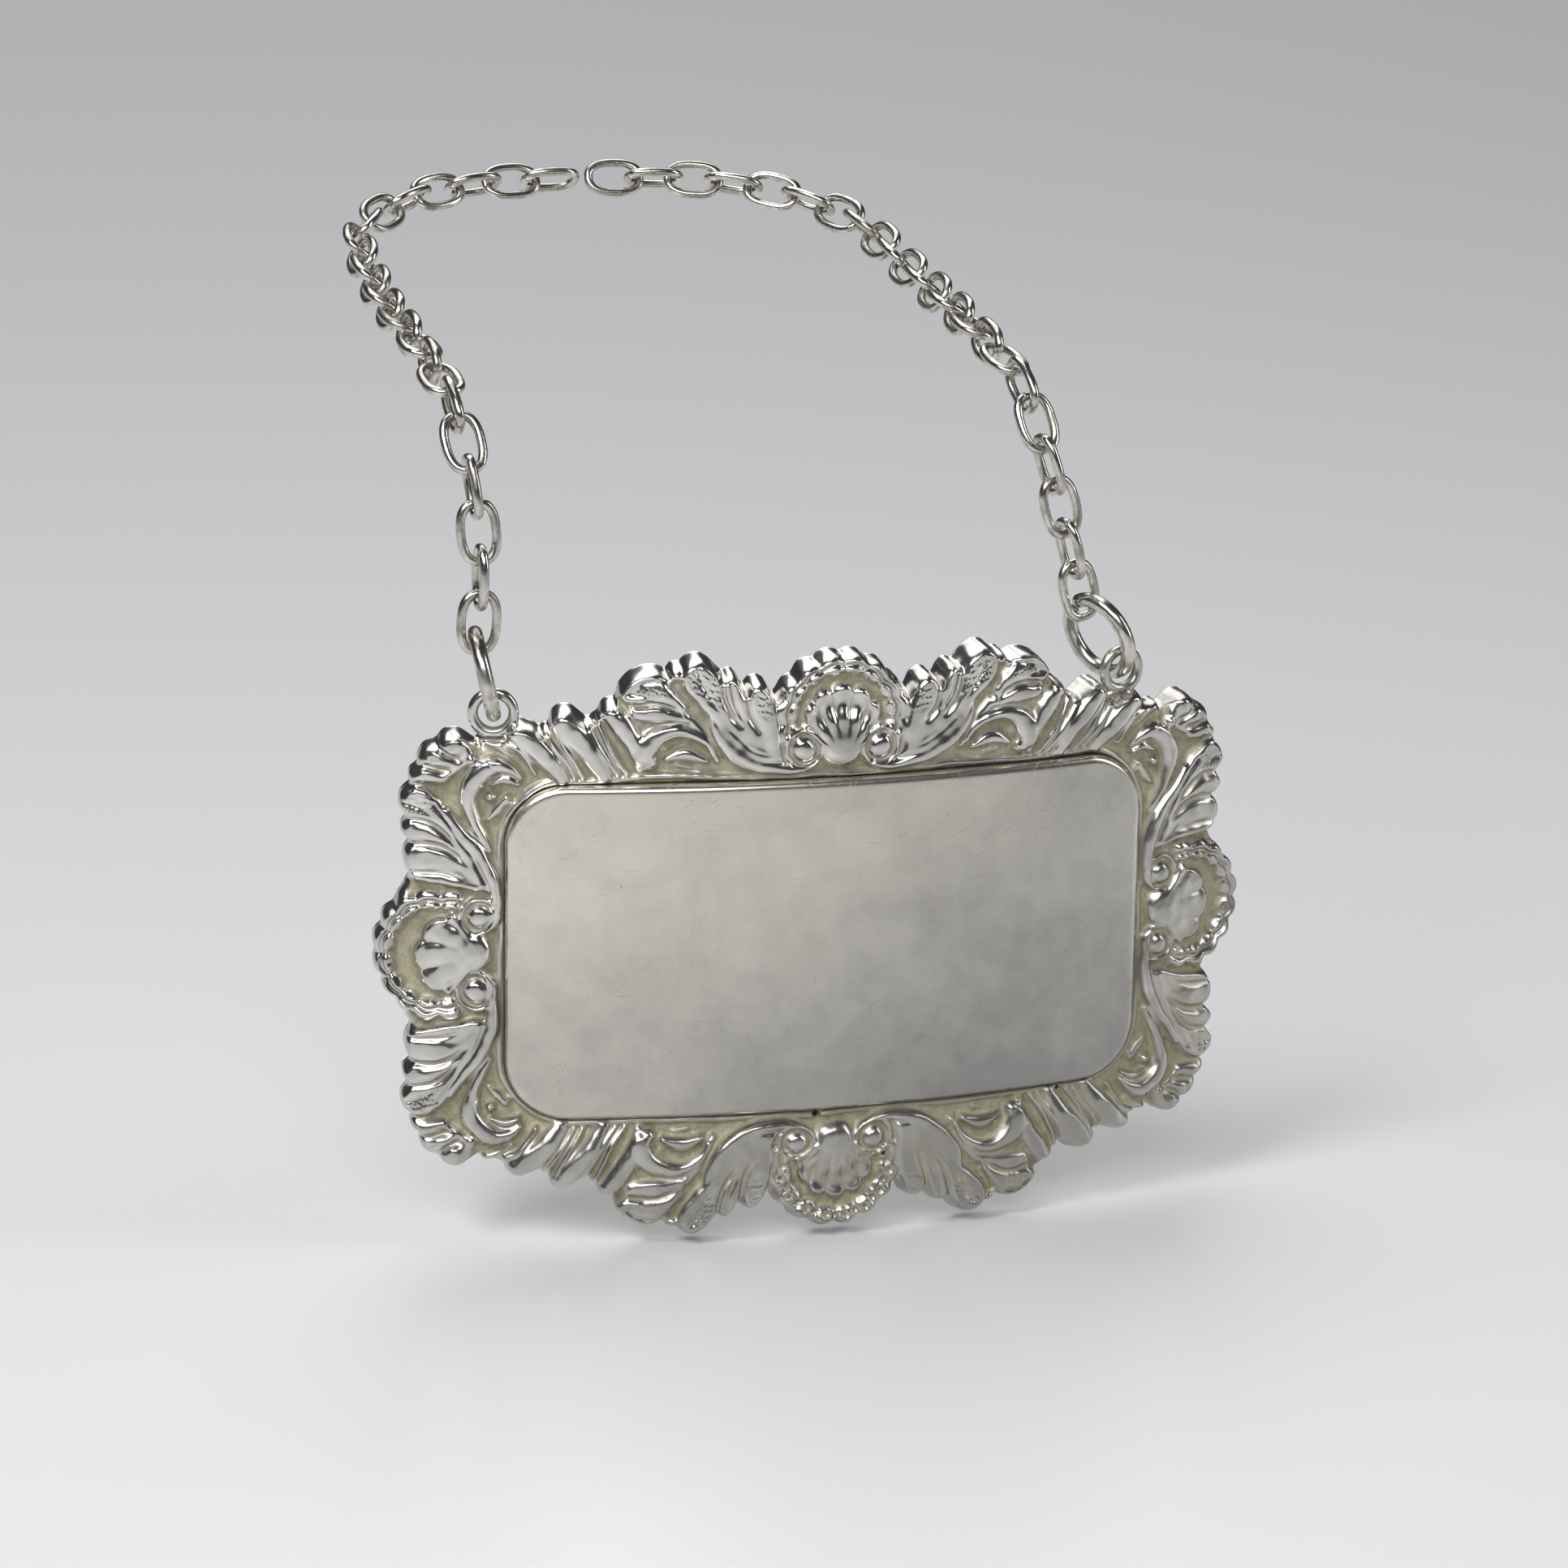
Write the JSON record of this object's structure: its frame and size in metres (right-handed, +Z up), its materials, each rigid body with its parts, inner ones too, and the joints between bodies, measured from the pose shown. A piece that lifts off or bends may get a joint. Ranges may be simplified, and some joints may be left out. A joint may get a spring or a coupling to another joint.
{
  "type": "decanter label",
  "caption": "Bent silver label with a shell and leaf border round a plain panel, hung by eyelets, jump rings and a trace chain round a decanter neck.",
  "frame": {"origin": "middle of the space inside the chain loop, where the neck of the decanter stands", "axes": "+X to the right of the label seen from the front, -Y out of the front of the label, +Z up along the neck"},
  "size_m": [0.0592, 0.0495, 0.0636],
  "materials": {
    "cast_silver": "cast silver with tarnish left in the recesses",
    "plate_silver": "polished silver with fine scratches",
    "wire_silver": "polished silver wire"
  },
  "bodies": {
    "label": {"border_frame": "cast_silver", "panel_plate": "plate_silver", "eyelet_left": "cast_silver", "eyelet_right": "cast_silver"},
    "ring_left": {"ring_left": "wire_silver"},
    "ring_right": {"ring_right": "wire_silver"},
    "link_left_01": {"link_left_01": "wire_silver"},
    "link_left_02": {"link_left_02": "wire_silver"},
    "link_left_03": {"link_left_03": "wire_silver"},
    "link_left_04": {"link_left_04": "wire_silver"},
    "link_left_05": {"link_left_05": "wire_silver"},
    "link_left_06": {"link_left_06": "wire_silver"},
    "link_left_07": {"link_left_07": "wire_silver"},
    "link_left_08": {"link_left_08": "wire_silver"},
    "link_left_09": {"link_left_09": "wire_silver"},
    "link_left_10": {"link_left_10": "wire_silver"},
    "link_left_11": {"link_left_11": "wire_silver"},
    "link_left_12": {"link_left_12": "wire_silver"},
    "link_left_13": {"link_left_13": "wire_silver"},
    "link_left_14": {"link_left_14": "wire_silver"},
    "link_left_15": {"link_left_15": "wire_silver"},
    "link_left_16": {"link_left_16": "wire_silver"},
    "link_left_17": {"link_left_17": "wire_silver"},
    "link_left_18": {"link_left_18": "wire_silver"},
    "link_left_19": {"link_left_19": "wire_silver"},
    "link_left_20": {"link_left_20": "wire_silver"},
    "link_left_21": {"link_left_21": "wire_silver"},
    "link_left_22": {"link_left_22": "wire_silver"},
    "link_left_23": {"link_left_23": "wire_silver"},
    "link_left_24": {"link_left_24": "wire_silver"},
    "link_right_01": {"link_right_01": "wire_silver"},
    "link_right_02": {"link_right_02": "wire_silver"},
    "link_right_03": {"link_right_03": "wire_silver"},
    "link_right_04": {"link_right_04": "wire_silver"},
    "link_right_05": {"link_right_05": "wire_silver"},
    "link_right_06": {"link_right_06": "wire_silver"},
    "link_right_07": {"link_right_07": "wire_silver"},
    "link_right_08": {"link_right_08": "wire_silver"},
    "link_right_09": {"link_right_09": "wire_silver"},
    "link_right_10": {"link_right_10": "wire_silver"},
    "link_right_11": {"link_right_11": "wire_silver"},
    "link_right_12": {"link_right_12": "wire_silver"},
    "link_right_13": {"link_right_13": "wire_silver"},
    "link_right_14": {"link_right_14": "wire_silver"},
    "link_right_15": {"link_right_15": "wire_silver"},
    "link_right_16": {"link_right_16": "wire_silver"},
    "link_right_17": {"link_right_17": "wire_silver"},
    "link_right_18": {"link_right_18": "wire_silver"},
    "link_right_19": {"link_right_19": "wire_silver"},
    "link_right_20": {"link_right_20": "wire_silver"},
    "link_right_21": {"link_right_21": "wire_silver"},
    "link_right_22": {"link_right_22": "wire_silver"},
    "link_right_23": {"link_right_23": "wire_silver"},
    "link_right_24": {"link_right_24": "wire_silver"}
  },
  "joints": [
    {"name": "ring_left_swing", "type": "hinge", "parent": "label", "child": "ring_left", "pos_m": [-0.01578, -0.01776, -0.02295], "axis": [0.9628, -0.2703, 0], "range_deg": [-25, 25]},
    {"name": "link_left_01_swing", "type": "hinge", "parent": "ring_left", "child": "link_left_01", "pos_m": [-0.01692, -0.01776, -0.01786], "axis": [-0.0008, -0.9999, -0.0146], "range_deg": [0, 45]},
    {"name": "link_left_02_swing", "type": "hinge", "parent": "link_left_01", "child": "link_left_02", "pos_m": [-0.01659, -0.0178, -0.01526], "axis": [-0.9999, 0.0006, 0.0172], "range_deg": [-45, 45]},
    {"name": "link_left_03_swing", "type": "hinge", "parent": "link_left_02", "child": "link_left_03", "pos_m": [-0.01656, -0.01773, -0.0124], "axis": [0.0035, 0.9981, -0.0615], "range_deg": [-45, 0]},
    {"name": "link_left_04_swing", "type": "hinge", "parent": "link_left_03", "child": "link_left_04", "pos_m": [-0.01683, -0.01754, -0.00955], "axis": [-0.9937, -0.0034, -0.1122], "range_deg": [-45, 45]},
    {"name": "link_left_05_swing", "type": "hinge", "parent": "link_left_04", "child": "link_left_05", "pos_m": [-0.01715, -0.01665, -0.00684], "axis": [0.0451, 0.8498, -0.5252], "range_deg": [-45, 0]},
    {"name": "link_left_06_swing", "type": "hinge", "parent": "link_left_05", "child": "link_left_06", "pos_m": [-0.01748, -0.01504, -0.00448], "axis": [0.9956, 0.0431, 0.0828], "range_deg": [-45, 45]},
    {"name": "link_left_07_swing", "type": "hinge", "parent": "link_left_06", "child": "link_left_07", "pos_m": [-0.0177, -0.01259, -0.00296], "axis": [-0.0013, -0.2724, 0.9622], "range_deg": [0, 45]},
    {"name": "link_left_08_swing", "type": "hinge", "parent": "link_left_07", "child": "link_left_08", "pos_m": [-0.01783, -0.00978, -0.0023], "axis": [0.9966, 0.0437, -0.0698], "range_deg": [-45, 45]},
    {"name": "link_left_09_swing", "type": "hinge", "parent": "link_left_08", "child": "link_left_09", "pos_m": [-0.0179, -0.00698, -0.00175], "axis": [-0.1669, 0.1476, -0.9749], "range_deg": [-45, 0]},
    {"name": "link_left_10_swing", "type": "hinge", "parent": "link_left_09", "child": "link_left_10", "pos_m": [-0.01797, -0.00415, -0.00133], "axis": [0.9652, 0.0469, -0.2573], "range_deg": [-45, 45]},
    {"name": "link_left_11_swing", "type": "hinge", "parent": "link_left_10", "child": "link_left_11", "pos_m": [-0.01802, -0.0013, -0.00103], "axis": [-0.3533, 0.0852, -0.9316], "range_deg": [-45, 0]},
    {"name": "link_left_12_swing", "type": "hinge", "parent": "link_left_11", "child": "link_left_12", "pos_m": [-0.01804, 0.00154, -0.00077], "axis": [-0.8992, -0.0367, 0.4361], "range_deg": [-45, 45]},
    {"name": "link_left_13_swing", "type": "hinge", "parent": "link_left_12", "child": "link_left_13", "pos_m": [-0.01801, 0.00439, -0.00049], "axis": [-0.5079, 0.1202, -0.853], "range_deg": [-45, 0]},
    {"name": "link_left_14_swing", "type": "hinge", "parent": "link_left_13", "child": "link_left_14", "pos_m": [-0.01791, 0.00723, -0.00013], "axis": [-0.8269, -0.0524, 0.5599], "range_deg": [-45, 45]},
    {"name": "link_left_15_swing", "type": "hinge", "parent": "link_left_14", "child": "link_left_15", "pos_m": [-0.01777, 0.01004, 0.00035], "axis": [-0.5949, 0.1685, -0.786], "range_deg": [-45, 45]},
    {"name": "link_left_16_swing", "type": "hinge", "parent": "link_left_15", "child": "link_left_16", "pos_m": [-0.01769, 0.01285, 0.0009], "axis": [-0.793, -0.0686, 0.6054], "range_deg": [-45, 45]},
    {"name": "link_left_17_swing", "type": "hinge", "parent": "link_left_16", "child": "link_left_17", "pos_m": [-0.01747, 0.01564, 0.00149], "axis": [-0.5929, 0.2926, -0.7502], "range_deg": [-45, 45]},
    {"name": "link_left_18_swing", "type": "hinge", "parent": "link_left_17", "child": "link_left_18", "pos_m": [-0.01684, 0.01837, 0.0021], "axis": [-0.7098, 0.2125, 0.6716], "range_deg": [-45, 45]},
    {"name": "link_left_19_swing", "type": "hinge", "parent": "link_left_18", "child": "link_left_19", "pos_m": [-0.01544, 0.02081, 0.00269], "axis": [0.4368, -0.5959, 0.6739], "range_deg": [-45, 45]},
    {"name": "link_left_20_swing", "type": "hinge", "parent": "link_left_19", "child": "link_left_20", "pos_m": [-0.01344, 0.02279, 0.00326], "axis": [0.4787, -0.4676, -0.7431], "range_deg": [-45, 45]},
    {"name": "link_left_21_swing", "type": "hinge", "parent": "link_left_20", "child": "link_left_21", "pos_m": [-0.01106, 0.02433, 0.00373], "axis": [-0.2427, 0.7388, -0.6287], "range_deg": [-45, 45]},
    {"name": "link_left_22_swing", "type": "hinge", "parent": "link_left_21", "child": "link_left_22", "pos_m": [-0.00842, 0.02541, 0.00404], "axis": [-0.175, 0.5927, 0.7862], "range_deg": [-45, 45]},
    {"name": "link_left_23_swing", "type": "hinge", "parent": "link_left_22", "child": "link_left_23", "pos_m": [-0.0056, 0.02592, 0.0042], "axis": [0.0508, -0.7904, 0.6105], "range_deg": [-45, 45]},
    {"name": "link_left_24_swing", "type": "hinge", "parent": "link_left_23", "child": "link_left_24", "pos_m": [-0.00275, 0.02612, 0.00427], "axis": [0.0226, -0.6091, -0.7928], "range_deg": [-45, 45]},
    {"name": "ring_right_swing", "type": "hinge", "parent": "label", "child": "ring_right", "pos_m": [0.02583, -0.01828, -0.0222], "axis": [-0.9692, -0.2462, 0], "range_deg": [-25, 5]},
    {"name": "link_right_01_swing", "type": "hinge", "parent": "ring_right", "child": "link_right_01", "pos_m": [0.02337, -0.01639, -0.018], "axis": [0.1873, -0.9816, 0.0364], "range_deg": [-45, 0]},
    {"name": "link_right_02_swing", "type": "hinge", "parent": "link_right_01", "child": "link_right_02", "pos_m": [0.0229, -0.01666, -0.01538], "axis": [0.9525, 0.1905, 0.2378], "range_deg": [-45, 45]},
    {"name": "link_right_03_swing", "type": "hinge", "parent": "link_right_02", "child": "link_right_03", "pos_m": [0.02221, -0.01666, -0.0126], "axis": [-0.1766, 0.9813, -0.0761], "range_deg": [0, 45]},
    {"name": "link_right_04_swing", "type": "hinge", "parent": "link_right_03", "child": "link_right_04", "pos_m": [0.02143, -0.01658, -0.00985], "axis": [-0.952, -0.1899, -0.24], "range_deg": [-45, 45]},
    {"name": "link_right_05_swing", "type": "hinge", "parent": "link_right_04", "child": "link_right_05", "pos_m": [0.02066, -0.01609, -0.00714], "axis": [0.1144, -0.8798, 0.4615], "range_deg": [-45, 0]},
    {"name": "link_right_06_swing", "type": "hinge", "parent": "link_right_05", "child": "link_right_06", "pos_m": [0.0202, -0.01472, -0.00464], "axis": [0.9834, 0.1805, 0.0191], "range_deg": [-45, 45]},
    {"name": "link_right_07_swing", "type": "hinge", "parent": "link_right_06", "child": "link_right_07", "pos_m": [0.01977, -0.01238, -0.00299], "axis": [-0.1145, 0.2795, -0.9533], "range_deg": [0, 45]},
    {"name": "link_right_08_swing", "type": "hinge", "parent": "link_right_07", "child": "link_right_08", "pos_m": [0.01942, -0.00959, -0.00228], "axis": [-0.9792, -0.1116, 0.1692], "range_deg": [-45, 45]},
    {"name": "link_right_09_swing", "type": "hinge", "parent": "link_right_08", "child": "link_right_09", "pos_m": [0.01922, -0.0068, -0.0017], "axis": [0.2777, -0.1434, 0.9499], "range_deg": [-45, 45]},
    {"name": "link_right_10_swing", "type": "hinge", "parent": "link_right_09", "child": "link_right_10", "pos_m": [0.01922, -0.00397, -0.00129], "axis": [0.9287, 0.0226, -0.3702], "range_deg": [-45, 45]},
    {"name": "link_right_11_swing", "type": "hinge", "parent": "link_right_10", "child": "link_right_11", "pos_m": [0.01928, -0.00112, -0.00101], "axis": [-0.4591, 0.0932, -0.8835], "range_deg": [-45, 45]},
    {"name": "link_right_12_swing", "type": "hinge", "parent": "link_right_11", "child": "link_right_12", "pos_m": [0.01935, 0.00173, -0.00075], "axis": [0.8424, 0.0427, -0.5371], "range_deg": [-45, 45]},
    {"name": "link_right_13_swing", "type": "hinge", "parent": "link_right_12", "child": "link_right_13", "pos_m": [0.01938, 0.00457, -0.00047], "axis": [0.6053, -0.0852, 0.7914], "range_deg": [-45, 45]},
    {"name": "link_right_14_swing", "type": "hinge", "parent": "link_right_13", "child": "link_right_14", "pos_m": [0.01931, 0.00741, -0.00011], "axis": [-0.7531, -0.1429, 0.6422], "range_deg": [-45, 45]},
    {"name": "link_right_15_swing", "type": "hinge", "parent": "link_right_14", "child": "link_right_15", "pos_m": [0.01917, 0.01022, 0.00038], "axis": [0.6888, -0.116, 0.7156], "range_deg": [-45, 45]},
    {"name": "link_right_16_swing", "type": "hinge", "parent": "link_right_15", "child": "link_right_16", "pos_m": [0.01909, 0.01303, 0.00093], "axis": [-0.7109, -0.1976, 0.675], "range_deg": [-45, 45]},
    {"name": "link_right_17_swing", "type": "hinge", "parent": "link_right_16", "child": "link_right_17", "pos_m": [0.01885, 0.01582, 0.00153], "axis": [-0.687, 0.0084, -0.7266], "range_deg": [-45, 45]},
    {"name": "link_right_18_swing", "type": "hinge", "parent": "link_right_17", "child": "link_right_18", "pos_m": [0.01818, 0.01854, 0.00214], "axis": [0.6216, 0.4902, -0.6109], "range_deg": [-45, 45]},
    {"name": "link_right_19_swing", "type": "hinge", "parent": "link_right_18", "child": "link_right_19", "pos_m": [0.01673, 0.02095, 0.00273], "axis": [-0.532, -0.2903, -0.7954], "range_deg": [-45, 45]},
    {"name": "link_right_20_swing", "type": "hinge", "parent": "link_right_19", "child": "link_right_20", "pos_m": [0.0147, 0.0229, 0.00329], "axis": [-0.3893, -0.7421, 0.5457], "range_deg": [-45, 45]},
    {"name": "link_right_21_swing", "type": "hinge", "parent": "link_right_20", "child": "link_right_21", "pos_m": [0.0123, 0.02442, 0.00375], "axis": [0.2937, 0.4508, 0.8429], "range_deg": [-45, 45]},
    {"name": "link_right_22_swing", "type": "hinge", "parent": "link_right_21", "child": "link_right_22", "pos_m": [0.00965, 0.02546, 0.00405], "axis": [0.1375, 0.8472, -0.5132], "range_deg": [-45, 45]},
    {"name": "link_right_23_swing", "type": "hinge", "parent": "link_right_22", "child": "link_right_23", "pos_m": [0.00682, 0.02594, 0.00421], "axis": [-0.0659, -0.506, -0.86], "range_deg": [-45, 45]},
    {"name": "link_right_24_swing", "type": "hinge", "parent": "link_right_23", "child": "link_right_24", "pos_m": [0.00397, 0.02613, 0.00427], "axis": [-0.0135, -0.8609, 0.5086], "range_deg": [-45, 45]}
  ]
}
